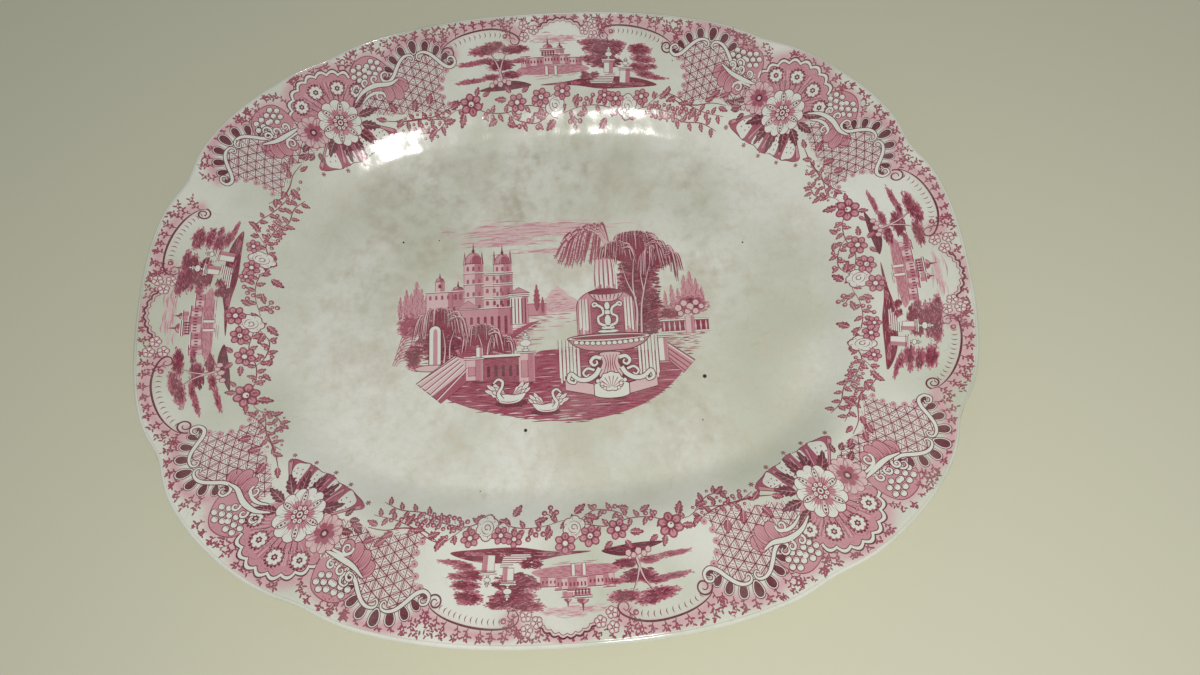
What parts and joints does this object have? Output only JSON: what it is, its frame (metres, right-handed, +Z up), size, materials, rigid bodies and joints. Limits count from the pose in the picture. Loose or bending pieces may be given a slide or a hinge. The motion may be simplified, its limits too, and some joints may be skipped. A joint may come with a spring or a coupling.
{
  "type": "china serving platter",
  "caption": "Oval china serving platter with a lobed broad rim, sunk flat well and low foot ring, for carrying and serving food; mulberry transfer print under clear glaze.",
  "frame": {"origin": "centre of the foot ring's standing face, on the table under the middle of the dish", "axes": "+X along the length of the dish, +Y across it, +Z up, out of the well"},
  "size_m": [0.4, 0.322, 0.0305],
  "materials": {
    "fired_clay": "matte",
    "printed_glaze": "gloss",
    "plain_glaze": "gloss"
  },
  "bodies": {
    "root": {"clay_dish": "fired_clay", "foot_ring": "fired_clay", "face_glaze": "printed_glaze", "back_glaze": "plain_glaze", "base_glaze": "plain_glaze"}
  },
  "joints": []
}
